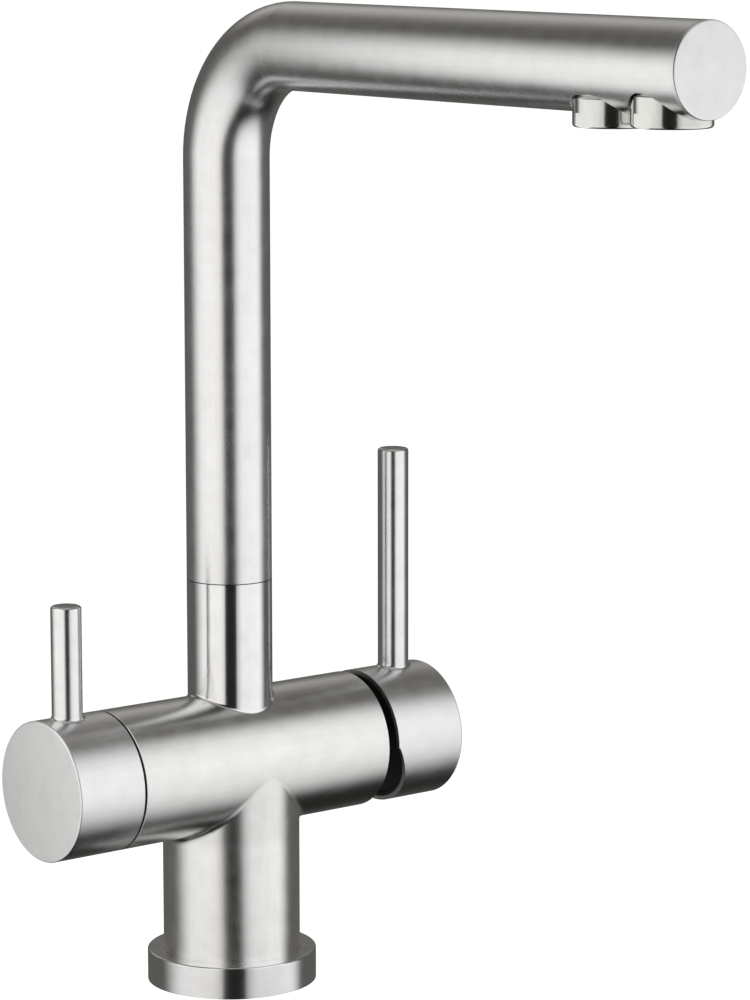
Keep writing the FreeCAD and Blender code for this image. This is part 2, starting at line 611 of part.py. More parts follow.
def make_filter_valve():
    """Quarter-turn valve for filtered water."""
    centre = (0, BODY_AXIS_Z)
    seal_end = FILTER_SEAT_X - VALVE_SEAL_THICKNESS
    disc_end = seal_end - VALVE_DISC_THICKNESS
    seal = sleeve("x", VALVE_BORE_R - FIXED_GAP, VALVE_SEAL_BORE_R, seal_end, FILTER_SEAT_X, centre)
    save("filter_valve_seal", seal)
    save("filter_fixed_disc", half_moon(VALVE_BORE_R - FIXED_GAP, VALVE_DISC_THICKNESS, disc_end))
    moving_end = disc_end - DISC_GAP - VALVE_DISC_THICKNESS
    save("filter_moving_disc", half_moon(VALVE_BORE_R - RUNNING_GAP, VALVE_DISC_THICKNESS, moving_end))

    valve = rod("x", FILTER_BORE_R - FIXED_GAP, BODY_LEFT_X, FILTER_SEAT_X, centre)
    valve = valve.fuse(rod("x", VALVE_NECK_R, VALVE_NECK_END_X, BODY_LEFT_X + PAST, centre))
    window_x = (VALVE_WAIST[0] + VALVE_WAIST[1]) / 2
    valve = cut_all(valve, [
        sleeve("x", BODY_R, VALVE_WAIST_R, VALVE_WAIST[0], VALVE_WAIST[1], centre),
        rod("x", VALVE_BORE_R, VALVE_BORE_END_X, FILTER_SEAT_X + PAST, centre),
        rod("x", SPINDLE_R + RUNNING_GAP, VALVE_NECK_END_X - PAST, FILTER_SEAT_X, centre),
        rod("z", WINDOW_R, BODY_AXIS_Z, BODY_AXIS_Z + BODY_R, (window_x, 0)),
    ])
    save("filter_valve_body", valve)
    flange = rod("x", VALVE_BORE_R - RUNNING_GAP, moving_end - SPINDLE_FLANGE_THICKNESS, moving_end, centre)
    shaft = rod("x", SPINDLE_R, SPINDLE_END_X, moving_end - PAST, centre)
    save("filter_spindle", flange.fuse(shaft))


def make_filter_handle():
    """Short lever and its cap."""
    centre = (0, BODY_AXIS_Z)
    rim_x = BODY_LEFT_X - FILTER_CAP_GAP
    cap = rod("x", BODY_R, FILTER_CAP_END_X, rim_x, centre)
    cap = cap.makeFillet(EDGE_RADIUS, end_edges(cap, "x", FILTER_CAP_END_X, BODY_R))
    cap = cap.makeChamfer(RIM_CHAMFER, end_edges(cap, "x", rim_x, BODY_R))
    cap = cut_all(cap, [
        rod("x", BODY_R - CAP_WALL, FILTER_CAVITY_END_X, rim_x + PAST, centre),
        rod("x", SPINDLE_R + FIXED_GAP, SPINDLE_END_X, rim_x, centre),
        rod("y", SCREW_R, 0, BODY_R + PAST, (FILTER_SCREW_X, BODY_AXIS_Z)),
        lever_socket(FILTER_LEVER_X, FILTER_LEVER_R),
    ])
    save("filter_cap", cap)
    lever(FILTER_LEVER_X, FILTER_LEVER_R, FILTER_LEVER_TOP_Z, "filter_lever", (FILTER_CAP_END_X, rim_x))
    save("filter_grub_screw", grub_screw(SPINDLE_R, SPINDLE_R + SCREW_LENGTH, FILTER_SCREW_X, BODY_AXIS_Z))


def make_swivel():
    """Spigot, bushes and seal rings that let the spout turn in the neck."""
    spigot = rod("z", SPIGOT_R, SPIGOT_BOTTOM_Z, SWIVEL_Z + PAST)
    plug = rod("z", TUBE_R - TUBE_WALL - FIXED_GAP, SWIVEL_Z + MOVING_GAP / 2, SPIGOT_TOP_Z)
    tools = [rod("z", SPIGOT_BORE_R, SPIGOT_BOTTOM_Z - PAST, SPIGOT_TOP_Z + PAST)]
    for ring_z in (LOWER_RING_Z, UPPER_RING_Z):
        tools.append(sleeve("z", TUBE_R, RING_GROOVE_R, ring_z, ring_z + RING_HEIGHT))
    groove = (RETAINER_Z - RETAINER_GROOVE_HALF, RETAINER_Z + RETAINER_GROOVE_HALF)
    tools.append(sleeve("z", TUBE_R, RETAINER_GROOVE_R, groove[0], groove[1]))
    save("spout_spigot", cut_all(spigot.fuse(plug), tools))

    bush_in = SPIGOT_R + FIXED_GAP
    for name, low in (("lower_bush", LOWER_BUSH_Z), ("upper_bush", UPPER_BUSH_Z)):
        save(name, sleeve("z", bush_in + BUSH_WALL, bush_in, low, low + BUSH_HEIGHT))
    for name, low in (("lower_seal_ring", LOWER_RING_Z), ("upper_seal_ring", UPPER_RING_Z)):
        ends = (low + FIXED_GAP, low + RING_HEIGHT - FIXED_GAP)
        ring = sleeve("z", NECK_BORE_R - RUNNING_GAP, RING_GROOVE_R + FIXED_GAP, ends[0], ends[1])
        save(name, ring)
    save("spout_retaining_screw", grub_screw(RETAINER_TIP_Y, RETAINER_END_Y, 0, RETAINER_Z))
    ring = sleeve("z", INNER_RING_R, INNER_TUBE_R + RUNNING_GAP, INNER_RING_Z[0], INNER_RING_Z[1])
    save("inner_tube_ring", ring)


def make_spout():
    """Bent spout tube and the filtered water tube inside it."""
    outer = bent_rod(TUBE_R, SWIVEL_Z + MOVING_GAP / 2, HEAD_SEAM_Y)
    inner = bent_rod(TUBE_R - TUBE_WALL, SWIVEL_Z - PAST, HEAD_SEAM_Y - PAST)
    save("spout_tube", outer.cut(inner))
    outer = bent_rod(INNER_TUBE_R, INNER_TUBE_BOTTOM_Z, INNER_TUBE_END_Y)
    inner = bent_rod(INNER_TUBE_R - INNER_TUBE_WALL, INNER_TUBE_BOTTOM_Z - PAST, INNER_TUBE_END_Y - PAST)
    save("inner_tube", outer.cut(inner))


def make_outlet_head():
    """Turned end piece with a chamber for mixed and one for filtered water."""
    centre = (0, SPOUT_AXIS_Z)
    chamber = (0, SPOUT_AXIS_Z + HEAD_CHAMBER_RISE)
    plate_back = SPOUT_END_Y + END_PLATE_THICKNESS
    spigot_end = HEAD_SEAM_Y + HEAD_SPIGOT_LENGTH
    head = rod("y", TUBE_R, plate_back, HEAD_SEAM_Y, centre)
    head = head.fuse(rod("y", TUBE_R - TUBE_WALL - FIXED_GAP, HEAD_SEAM_Y - PAST, spigot_end, centre))
    tools = [
        rod("y", HEAD_CHAMBER_R, HEAD_WALL_Y[1], spigot_end + PAST, chamber),
        rod("y", HEAD_CHAMBER_R, plate_back - PAST, HEAD_WALL_Y[0], chamber),
        rod("y", INNER_TUBE_R + FIXED_GAP, HEAD_WALL_Y[0] - PAST, HEAD_WALL_Y[1] + PAST, centre),
    ]
    low = SPOUT_AXIS_Z - TUBE_R - PAST
    for name, outlet_y, top_z, height in OUTLETS:
        hole_top = top_z + THREAD_LENGTH + THREAD_RELIEF
        tools.append(rod("z", COLLAR_R + SPOT_FACE_GAP, low, top_z, (0, outlet_y)))
        tools.append(rod("z", THREAD_R, low, hole_top, (0, outlet_y)))
    save("outlet_head", cut_all(head, tools))

    plate = rod("y", TUBE_R, SPOUT_END_Y, plate_back, centre)
    save("spout_end_plate", plate.makeFillet(EDGE_RADIUS, end_edges(plate, "y", SPOUT_END_Y, TUBE_R)))


def make_aerator(name, outlet_y, top_z, height):
    """Screw-in collar, its flow insert and its flat seal."""
    place = (0, outlet_y)
    bottom_z = top_z - height
    washer_z = top_z - WASHER_THICKNESS
    thread_top = top_z + THREAD_LENGTH
    collar = rod("z", COLLAR_R, bottom_z, top_z, place)
    collar = collar.makeFillet(COLLAR_EDGE_R, end_edges(collar, "z", bottom_z, COLLAR_R))
    collar = collar.makeChamfer(COLLAR_TOP_CHAMFER, end_edges(collar, "z", top_z, COLLAR_R))
    flat_x = COLLAR_R - FLAT_DEPTH
    for side in (-1, 1):
        near = side * flat_x
        far = side * (COLLAR_R + PAST)
        collar = collar.cut(block((min(near, far), max(near, far)),
                                  (outlet_y - FLAT_HALF_WIDTH, outlet_y + FLAT_HALF_WIDTH),
                                  (bottom_z - PAST, bottom_z + FLAT_HEIGHT)))
    housing = collar.fuse(rod("z", THREAD_R - RUNNING_GAP, top_z - PAST, thread_top, place))
    housing = cut_all(housing, [
        rod("z", AERATOR_BORE_R, bottom_z - PAST, thread_top - AERATOR_SHELF_THICKNESS, place),
        rod("z", AERATOR_SHELF_R, bottom_z, thread_top + PAST, place),
        sleeve("z", WASHER_R + FIXED_GAP, THREAD_R - FIXED_GAP, washer_z, top_z, place),
    ])
    save(name + "_aerator_housing", housing)

    insert_bottom = bottom_z + INSERT_RECESS
    insert_top = insert_bottom + INSERT_HEIGHT
    holes = []
    for row in range(INSERT_ROWS):
        radius = row * INSERT_ROW_PITCH
        count = max(1, row * INSERT_HOLES_PER_ROW)
        for step in range(count):
            angle = 2 * math.pi * step / count
            spot = (radius * math.cos(angle), outlet_y + radius * math.sin(angle))
            holes.append(rod("z", INSERT_HOLE_R, insert_bottom - PAST, insert_top + PAST, spot))
    insert = rod("z", AERATOR_BORE_R - FIXED_GAP, insert_bottom, insert_top, place)
    save(name + "_aerator_insert", cut_all(insert, holes))
    washer = sleeve("z", WASHER_R, THREAD_R + FIXED_GAP, washer_z, top_z, place)
    save(name + "_aerator_washer", washer)


os.makedirs("parts", exist_ok=True)
make_tap_body()
make_base()
make_fixing_kit()
make_cartridge_fixed()
make_cartridge_moving()
make_mixer_handle()
make_filter_valve()
make_filter_handle()
make_swivel()
make_spout()
make_outlet_head()
for outlet in OUTLETS:
    make_aerator(*outlet)
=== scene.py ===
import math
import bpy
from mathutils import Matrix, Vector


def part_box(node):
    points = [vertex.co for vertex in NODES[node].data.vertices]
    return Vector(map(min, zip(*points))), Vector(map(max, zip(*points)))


bl_info = {
    "name": "Kitchen Mixer Tap",
    "version": (1, 0, 0),
    "blender": (4, 5, 0),
    "location": "View3D > Sidebar > Tap",
    "description": "Dresses the packed kitchen mixer tap and sets up its studio",
    "category": "Object",
}

import bmesh
import bpy
from mathutils import Matrix, Vector

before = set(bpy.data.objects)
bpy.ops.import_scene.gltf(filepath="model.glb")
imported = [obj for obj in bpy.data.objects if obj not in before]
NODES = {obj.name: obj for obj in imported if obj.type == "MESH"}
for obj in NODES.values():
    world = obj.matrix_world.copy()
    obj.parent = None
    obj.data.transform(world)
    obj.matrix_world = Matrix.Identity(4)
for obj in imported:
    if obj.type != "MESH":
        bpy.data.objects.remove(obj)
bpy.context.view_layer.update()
FLAT_MATERIALS = {slot.material for piece in NODES.values() for slot in piece.material_slots}


def node_box(name):
    """Lowest and highest corner of a CAD node, as vectors."""
    low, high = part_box(name)
    return Vector(low), Vector(high)


# Camera: a long lens, seen from the front left and a little above
CAMERA_PLACE = Vector((-0.7506, -1.0144, 0.3662))
CAMERA_RIGHT = Vector((0.7806, -0.6250, -0.0010))
CAMERA_FORWARD = Vector((0.6167, 0.7706, -0.1609))
CAMERA_LENS = 140.73
CAMERA_REACH = 50.0

# Floor
FLOOR_HALF = 16.0
FLOOR_COLOUR = (0.9, 0.9, 0.9, 1.0)
FLOOR_GLOW_COLOUR = (1.0, 1.0, 1.0, 1.0)
FLOOR_GLOW = 0.9

# Shape of the tap that the grain follows, read from the frame
TUBE_RADIUS = (node_box("spout_tube")[1].x - node_box("spout_tube")[0].x) / 2
SPOUT_LEVEL = node_box("spout_tube")[1].z - TUBE_RADIUS
BEND_RADIUS = 0.037
BODY_LOW = node_box("filter_cap")[0].z
BODY_RADIUS = (node_box("filter_cap")[1].z - BODY_LOW) / 2
BODY_AXIS = BODY_LOW + BODY_RADIUS
FILTER_FACE = node_box("filter_cap")[0].x
MIXER_FACE = node_box("mixer_cap")[1].x

# Marks in the steel: width and length of each kind of streak, and how much each counts
BROAD_MARK = (0.0060, 0.035)
WIDE_MARK = (0.0016, 0.025)
FINE_MARK = (0.00035, 0.010)
WIDE_SHARE = 0.40
FINE_SHARE = 0.28
TURNED_MARK = (0.0004, 1.0)
TURNED_SHARE = 0.5
CLOUD_SIZE = 0.0060
CLOUD_SHARE = 0.45
FACE_CLOUD_SIZE = 0.004
FACE_CLOUD_SHARE = 0.4
NO_MARK = 0.5
NOISE_DETAIL = 3.0

# How far the marks move a steel's colour and its roughness
STEEL_SPREAD = 0.09
STEEL_ROUGHNESS_SPREAD = 0.10
STEEL_RANGE = (0.30, 0.70)

# Where one finish passes into another: off the level body onto its column, and round the rim of a
# cap's face; and where the painted shade on the level body comes in round its lowest point
COLUMN_START = (0.0003, 0.0020)
FACE_RIM = (0.0001, 0.0004)
LEVEL_SHADE_START = (-0.004, 0.001)

# Relief of the smoother steels against the brushed one
RING_RELIEF = 1 / 3
POLISHED_RELIEF = 1 / 4
COLLAR_RELIEF = 1 / 2

# Finishes of the fittings inside and below the tap, by the name that the frame gives their slot
FITTINGS = {
    "plain_steel": {"name": "turned_steel", "colour": (0.62, 0.62, 0.62), "roughness": 0.35,
                    "size": 0.0008, "depth": 0.00001, "metallic": 1.0},
    "zinc_steel": {"name": "zinc_plate", "colour": (0.68, 0.70, 0.74), "roughness": 0.38,
                   "size": 0.003, "depth": 0.00002, "metallic": 1.0},
    "dark_steel": {"name": "blackened_steel", "colour": (0.08, 0.08, 0.09), "roughness": 0.40,
                   "size": 0.001, "depth": 0.00001, "metallic": 1.0},
    "brass": {"name": "machined_brass", "colour": (0.78, 0.60, 0.28), "roughness": 0.30,
              "size": 0.0008, "depth": 0.00001, "metallic": 1.0},
    "black_rubber": {"name": "moulded_rubber", "colour": (0.02, 0.02, 0.02), "roughness": 0.70,
                     "size": 0.0006, "depth": 0.00003, "metallic": 0.0},
    "black_plastic": {"name": "black_moulding", "colour": (0.015, 0.015, 0.015), "roughness": 0.50,
                      "size": 0.0005, "depth": 0.00002, "metallic": 0.0},
    "white_plastic": {"name": "white_moulding", "colour": (0.85, 0.85, 0.83), "roughness": 0.40,
                      "size": 0.0008, "depth": 0.00001, "metallic": 0.0},
    "clear_hose": {"name": "water_tube", "colour": (0.80, 0.82, 0.84), "roughness": 0.30,
                   "size": 0.002, "depth": 0.00001, "metallic": 0.0},
    "ceramic": {"name": "lapped_ceramic", "colour": (0.92, 0.91, 0.88), "roughness": 0.15,
                "size": 0.0005, "depth": 0.000002, "metallic": 0.0},
}
FITTING_SPREAD = 0.06
FITTING_ROUGHNESS_SPREAD = 0.20
FITTING_RANGE = (0.25, 0.75)

# Light panels. Each stands upright between two points of the floor plan, given as metres
# right of the tap and metres towards the camera, with the left end first as the tap sees it.
# first and second are (level at that end, metres it takes to come up from it); top is
# (height, metres of fade below it); lean shifts the fades sideways with height.
PANELS = {
    "left_wall": {
        "ends": ((-0.215, -0.070), (-0.177, 0.145)), "level": 0.97, "tint": (1.0, 1.0, 0.99),
        "first": (0.0, 0.15), "second": (1.05, 0.06), "top": (0.56, 0.26), "lean": 0.13,
    },
    "left_front": {
        "ends": ((-0.177, 0.145), (-0.090, 0.520)), "level": 1.02, "tint": (1.0, 0.985, 0.955),
        "first": (1.0, 0.05), "second": (0.75, 0.20), "top": (0.62, 0.34), "lean": 0.0,
    },
    "right_side": {
        "ends": ((0.195, 0.520), (0.420, -0.160)), "level": 1.01, "tint": (1.0, 1.0, 1.0),
        "first": (0.6, 0.20), "second": (0.0, 0.20), "top": (0.86, 0.70), "lean": 0.0,
    },
}
PANEL_LOW = -0.64
PANEL_LOW_FADE = 0.78
LEAN_LEVEL = 0.15

# The room round the panels. Each pair says where along a direction a glow starts and is full;
# a direction goes from -1 to 1 and is measured away from the camera, to the right or upwards.
SIDE_TURN = (-0.6, 0.2)
BACK_TURN = (0.55, 0.9)
BACK_ACROSS = (-0.5, 0.5)
BACK_LEFT_LEVEL = 0.3
BACK_RIGHT_LEVEL = 1.5
BACK_RISE = (0.25, 0.5)
CEILING_RISE = (0.84, 0.97)
LOW_RISE = (-0.8, -0.4)
LOW_LEVEL = 0.15
ROOM_TINT = (1.0, 0.97, 0.91, 1.0)


class TapFinish(bpy.types.PropertyGroup):
    """Colours and gloss of the tap's materials."""

    steel_colour: bpy.props.FloatVectorProperty(
        name="Steel", description="Colour of the stainless steel", subtype="COLOR",
        size=3, min=0.0, max=1.0, default=(0.85, 0.85, 0.855))
    warm_steel_colour: bpy.props.FloatVectorProperty(
        name="Body steel", description="Colour of the body's slightly warmer steel", subtype="COLOR",
        size=3, min=0.0, max=1.0, default=(0.91, 0.91, 0.90))
    spout_roughness: bpy.props.FloatProperty(
        name="Spout roughness", description="Roughness of the brushed spout",
        min=0.0, max=1.0, default=0.26)
    body_roughness: bpy.props.FloatProperty(
        name="Body roughness", description="Roughness of the brushed body",
        min=0.0, max=1.0, default=0.25)
    cap_roughness: bpy.props.FloatProperty(
        name="Cap roughness", description="Roughness of the two caps",
        min=0.0, max=1.0, default=0.30)
    ring_roughness: bpy.props.FloatProperty(
        name="Ring roughness", description="Roughness of the turned base ring",
        min=0.0, max=1.0, default=0.17)
    neck_roughness: bpy.props.FloatProperty(
        name="Neck roughness", description="Roughness of the polished neck",
        min=0.0, max=1.0, default=0.14)
    lever_roughness: bpy.props.FloatProperty(
        name="Lever roughness", description="Roughness of the levers",
        min=0.0, max=1.0, default=0.23)
    collar_roughness: bpy.props.FloatProperty(
        name="Collar roughness", description="Roughness of the outlet collars",
        min=0.0, max=1.0, default=0.15)
    collar_colour: bpy.props.FloatVectorProperty(
        name="Collars", description="Colour of the outlet collars", subtype="COLOR",
        size=3, min=0.0, max=1.0, default=(0.70, 0.70, 0.68))
    plate_colour: bpy.props.FloatVectorProperty(
        name="End plate", description="Colour of the spout's end plate", subtype="COLOR",
        size=3, min=0.0, max=1.0, default=(0.79, 0.79, 0.80))
    plate_roughness: bpy.props.FloatProperty(
        name="End plate roughness", description="Roughness of the spout's end plate",
        min=0.0, max=1.0, default=0.34)
    face_roughness: bpy.props.FloatProperty(
        name="Cap face roughness", description="Roughness of the flat faces of the two caps",
        min=0.0, max=1.0, default=0.52)
    # Painted light: the cap faces' colour raised against the caps' sides
    face_painted_light: bpy.props.FloatProperty(
        name="Cap face lightness", description="Lightness of the cap faces against the caps' sides",
        min=0.5, max=1.2, default=1.17)
    # Painted shade: the level tubes' colour darkened against the upright ones
    level_painted_shade: bpy.props.FloatProperty(
        name="Level lightness", description="Lightness of the level tubes against the upright ones",
        min=0.5, max=1.0, default=0.90)
    grain_depth: bpy.props.FloatProperty(
        name="Grain depth", description="Depth of the brushing marks", subtype="DISTANCE",
        min=0.0, max=0.001, precision=6, default=0.000009)


class TapStudio(bpy.types.PropertyGroup):
    """Light levels of the studio round the tap."""

    panel_level: bpy.props.FloatProperty(
        name="Panels", description="Brightness of the light panels", min=0.0, default=1.0)
    front_level: bpy.props.FloatProperty(
        name="Front", description="Brightness of the room on the camera's side",
        min=0.0, default=0.015)
    side_level: bpy.props.FloatProperty(
        name="Sides", description="Brightness of the room at the sides", min=0.0, default=0.11)
    back_level: bpy.props.FloatProperty(
        name="Back", description="Brightness of the room behind the tap", min=0.0, default=0.52)
    ceiling_level: bpy.props.FloatProperty(
        name="Ceiling", description="Brightness of the ceiling", min=0.0, default=0.45)
    backdrop_level: bpy.props.FloatProperty(
        name="Backdrop", description="Brightness of the backdrop", min=0.0, default=1.0)


def link_value(tree, source, socket):
    """Connect an output to a socket, or set the socket to a number."""
    if isinstance(source, (int, float)):
        socket.default_value = source
    else:
        tree.links.new(source, socket)


def calculate(tree, operation, first, second=0.0):
    """Math node on two values."""
    node = tree.nodes.new("ShaderNodeMath")
    node.operation = operation
    link_value(tree, first, node.inputs[0])
    link_value(tree, second, node.inputs[1])
    return node.outputs[0]


def smooth_step(tree, value, start, end, low=0.0, high=1.0):
    """Value that goes smoothly from low at start to high at end."""
    node = tree.nodes.new("ShaderNodeMapRange")
    node.interpolation_type = "SMOOTHSTEP"
    link_value(tree, value, node.inputs["Value"])
    link_value(tree, start, node.inputs["From Min"])
    link_value(tree, end, node.inputs["From Max"])
    link_value(tree, low, node.inputs["To Min"])
    link_value(tree, high, node.inputs["To Max"])
    return node.outputs["Result"]


def blend(tree, factor, first, second):
    """Mix of two values."""
    node = tree.nodes.new("ShaderNodeMix")
    node.data_type = "FLOAT"
    link_value(tree, factor, node.inputs[0])
    link_value(tree, first, node.inputs[2])
    link_value(tree, second, node.inputs[3])
    return node.outputs[0]


def split_object_place(tree):
    """X, Y and Z of a point on the piece."""
    coordinates = tree.nodes.new("ShaderNodeTexCoord")
    split = tree.nodes.new("ShaderNodeSeparateXYZ")
    tree.links.new(coordinates.outputs["Object"], split.inputs[0])
    return split.outputs[0], split.outputs[1], split.outputs[2]


def streaks(tree, across_one, across_two, along, pitch, length):
    """Noise drawn out into streaks: pitch is their width and length how long they run."""
    join = tree.nodes.new("ShaderNodeCombineXYZ")
    link_value(tree, calculate(tree, "DIVIDE", across_one, pitch), join.inputs[0])
    link_value(tree, calculate(tree, "DIVIDE", across_two, pitch), join.inputs[1])
    link_value(tree, calculate(tree, "DIVIDE", along, length), join.inputs[2])
    noise = tree.nodes.new("ShaderNodeTexNoise")
    noise.inputs["Scale"].default_value = 1.0
    noise.inputs["Detail"].default_value = NOISE_DETAIL
    tree.links.new(join.outputs[0], noise.inputs["Vector"])
    return noise.outputs["Fac"]


def grain(tree, across_one, across_two, along):
    """Brushing marks along one direction: broad cloudy bands, streaks and fine lines."""
    broad = streaks(tree, across_one, across_two, along, *BROAD_MARK)
    wide = streaks(tree, across_one, across_two, along, *WIDE_MARK)
    fine = streaks(tree, across_one, across_two, along, *FINE_MARK)
    return blend(tree, FINE_SHARE, blend(tree, WIDE_SHARE, broad, wide), fine)


def distance_of(tree, one, other):
    """Distance from an axis, given how far off it a point is in two directions."""
    squares = calculate(tree, "ADD", calculate(tree, "MULTIPLY", one, one),
                        calculate(tree, "MULTIPLY", other, other))
    return calculate(tree, "SQRT", squares)


def spout_grain(tree, place):
    """Brushing marks that go up the spout, round its bend and along it."""
    across, y, z = place
    bend_start = SPOUT_LEVEL - BEND_RADIUS
    past_y = calculate(tree, "ADD", y, BEND_RADIUS)
    past_z = calculate(tree, "SUBTRACT", z, bend_start)
    inward = calculate(tree, "MAXIMUM", past_y, 0.0)
    upward = calculate(tree, "MAXIMUM", past_z, 0.0)
    offset = distance_of(tree, inward, upward)
    turned = calculate(tree, "MULTIPLY", calculate(tree, "ARCTAN2", upward, inward), BEND_RADIUS)
    risen = calculate(tree, "MINIMUM", past_z, 0.0)
    reached = calculate(tree, "MINIMUM", past_y, 0.0)
    along = calculate(tree, "SUBTRACT", calculate(tree, "ADD", risen, turned), reached)
    return grain(tree, across, offset, along)


def body_grain(tree, place):
    """Brushing marks along the level body, and upright on the column below it."""
    x, y, z = place
    level = grain(tree, y, z, x)
    upright = grain(tree, x, y, z)
    outside = calculate(tree, "SUBTRACT", distance_of(tree, y, calculate(tree, "SUBTRACT", z, BODY_AXIS)),
                        BODY_RADIUS)
    on_column = smooth_step(tree, outside, *COLUMN_START)
    return blend(tree, on_column, level, upright)


def level_grain(tree, place):
    """Brushing marks along X."""
    x, y, z = place
    return grain(tree, y, z, x)


def upright_grain(tree, place):
    """Brushing marks along Z."""
    x, y, z = place
    return grain(tree, x, y, z)


def turned_grain(tree, place):
    """Turning marks round the Z axis."""
    x, y, z = place
    marks = streaks(tree, distance_of(tree, x, y), z, 0.0, *TURNED_MARK)
    return blend(tree, TURNED_SHARE, NO_MARK, marks)


def speckle(tree, place, size):
    """Even fine noise with no direction."""
    return streaks(tree, place[0], place[1], place[2], size, size)


def faint_clouds(tree, place):
    """Soft mottling a few millimetres across."""
    return blend(tree, FACE_CLOUD_SHARE, NO_MARK, speckle(tree, place, FACE_CLOUD_SIZE))


def new_material(name):
    """Material with its shader, ready to be filled in."""
    material = bpy.data.materials.new(name)
    material.use_nodes = True
    return material, material.node_tree, material.node_tree.nodes["Principled BSDF"]


def shade_colour(tree, shader, colour, pattern, spread, reach):
    """Base colour that varies by a spread as a pattern goes through its reach."""
    ramp = tree.nodes.new("ShaderNodeValToRGB")
    dark = [channel * (1.0 - spread) for channel in colour]
    light = [min(1.0, channel * (1.0 + spread)) for channel in colour]
    ramp.color_ramp.elements[0].position = reach[0]
    ramp.color_ramp.elements[0].color = (*dark, 1.0)
    ramp.color_ramp.elements[1].position = reach[1]
    ramp.color_ramp.elements[1].color = (*light, 1.0)
    tree.links.new(pattern, ramp.inputs[0])
    tree.links.new(ramp.outputs[0], shader.inputs["Base Color"])


def vary(tree, pattern, value, spread, reach):
    """Value that varies by a spread as a pattern goes through its reach."""
    return smooth_step(tree, pattern, *reach, value * (1.0 - spread), value * (1.0 + spread))


def add_relief(tree, shader, pattern, depth):
    """Fine bump from a pattern."""
    bump = tree.nodes.new("ShaderNodeBump")
    bump.inputs["Strength"].default_value = 1.0
    bump.inputs["Distance"].default_value = depth
    tree.links.new(pattern, bump.inputs["Height"])
    tree.links.new(bump.outputs[0], shader.inputs["Normal"])


def scale_colour(tree, shader, share):
    """Multiply the base colour."""
    scale = tree.nodes.new("ShaderNodeVectorMath")
    scale.operation = "SCALE"
    tree.links.new(shader.inputs["Base Color"].links[0].from_socket, scale.inputs[0])
    tree.links.new(share, scale.inputs["Scale"])
    tree.links.new(scale.outputs[0], shader.inputs["Base Color"])


def steel_material(name, colour, roughness, depth, marks, face=None, upper=None):
    """Stainless steel with marks; face is (X of a flat end face, its roughness, the lightness of its
    painted light) and upper is (Z where a painted shade starts, Z where it is full, its lightness)."""
    material, tree, shader = new_material(name)
    place = split_object_place(tree)
    pattern = marks(tree, place)
    if face:
        distance = calculate(tree, "ABSOLUTE", calculate(tree, "SUBTRACT", place[0], face[0]))
        on_face = smooth_step(tree, distance, *FACE_RIM, 1.0, 0.0)
        pattern = blend(tree, on_face, pattern, faint_clouds(tree, place))
    clouded = blend(tree, CLOUD_SHARE, pattern, speckle(tree, place, CLOUD_SIZE))
    shader.inputs["Metallic"].default_value = 1.0
    shade_colour(tree, shader, colour, clouded, STEEL_SPREAD, STEEL_RANGE)
    rough = vary(tree, clouded, roughness, STEEL_ROUGHNESS_SPREAD, STEEL_RANGE)
    if face:
        rough = blend(tree, on_face, rough, face[1])
        # Painted light: the face's colour is raised by its lightness
        scale_colour(tree, shader, blend(tree, on_face, 1.0, face[2]))
    # Painted shade: the colour darkens above the given height
    if upper:
        scale_colour(tree, shader, smooth_step(tree, place[2], upper[0], upper[1], 1.0, upper[2]))
    tree.links.new(rough, shader.inputs["Roughness"])
    add_relief(tree, shader, pattern, depth)
    return material


def fitting_material(finish):
    """Material with an even fine texture, for turned, moulded and plated fittings."""
    material, tree, shader = new_material(finish["name"])
    pattern = speckle(tree, split_object_place(tree), finish["size"])
    shader.inputs["Metallic"].default_value = finish["metallic"]
    shade_colour(tree, shader, finish["colour"], pattern, FITTING_SPREAD, FITTING_RANGE)
    rough = vary(tree, pattern, finish["roughness"], FITTING_ROUGHNESS_SPREAD, FITTING_RANGE)
    tree.links.new(rough, shader.inputs["Roughness"])
    add_relief(tree, shader, pattern, finish["depth"])
    return material


def paint(node_names, material):
    """Give CAD nodes a material."""
    for name in node_names:
        for slot in NODES[name].material_slots:
            slot.material = material


def check_finishes():
    """Stop the script if a piece still wears the flat material that it came with."""
    unfinished = []
    for name, piece in NODES.items():
        worn = [slot.material for slot in piece.material_slots]
        if not worn or any(material is None or material in FLAT_MATERIALS for material in worn):
            unfinished.append(name)
    if unfinished:
        raise RuntimeError("no finish on " + ", ".join(sorted(unfinished)))


class TAP_OT_fittings(bpy.types.Operator):
    """Finish the fittings inside the tap and below the worktop"""

    bl_idname = "tap.fittings"
    bl_label = "Fittings"

    def execute(self, context):
        made = {slot_name: fitting_material(finish) for slot_name, finish in FITTINGS.items()}
        for piece in NODES.values():
            for slot in piece.material_slots:
                if slot.material in FLAT_MATERIALS and slot.material.name in made:
                    slot.material = made[slot.material.name]
        return {"FINISHED"}


class TAP_OT_body(bpy.types.Operator):
    """Finish the welded body"""

    bl_idname = "tap.body"
    bl_label = "Body"

    def execute(self, context):
        finish = context.scene.tap_finish
        # Painted shade on the level body, coming in above the column
        level_shade_span = (BODY_LOW + LEVEL_SHADE_START[0], BODY_LOW + LEVEL_SHADE_START[1], finish.level_painted_shade)
        paint(["tap_body"], steel_material("brushed_body", finish.warm_steel_colour, finish.body_roughness,
                                           finish.grain_depth, body_grain, upper=level_shade_span))
        return {"FINISHED"}


class TAP_OT_neck(bpy.types.Operator):
    """Finish the polished neck"""

    bl_idname = "tap.neck"
    bl_label = "Neck"

    def execute(self, context):
        finish = context.scene.tap_finish
        paint(["neck"], steel_material("polished_neck", finish.steel_colour, finish.neck_roughness,
                                       finish.grain_depth * POLISHED_RELIEF, upright_grain))
        return {"FINISHED"}


